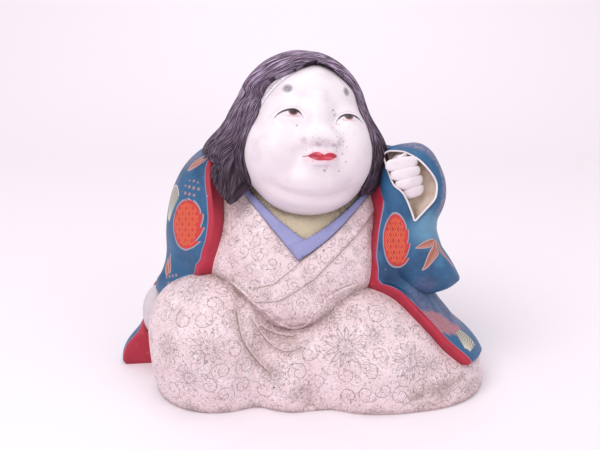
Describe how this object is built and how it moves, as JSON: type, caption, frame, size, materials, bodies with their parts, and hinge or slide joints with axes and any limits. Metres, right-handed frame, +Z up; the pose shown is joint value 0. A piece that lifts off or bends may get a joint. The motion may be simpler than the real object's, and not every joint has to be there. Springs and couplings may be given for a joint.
{
  "type": "ceramic otafuku figure",
  "caption": "Seated smiling otafuku woman in a patterned kimono and an open coat, a fist raised inside the sleeve; a hollow cast ceramic ornament that stands on its flat underside.",
  "frame": {"origin": "under the middle of the figure's outer box, on the surface that it stands on", "axes": "+Z up, +X to the viewer's right (the woman's own left), the longest way across; the face looks to -Y"},
  "size_m": [0.243, 0.169, 0.2102],
  "materials": {
    "painted_ceramic": "painted ceramic, low sheen"
  },
  "bodies": {
    "root": {"otafuku_figure": "painted_ceramic"}
  },
  "joints": []
}
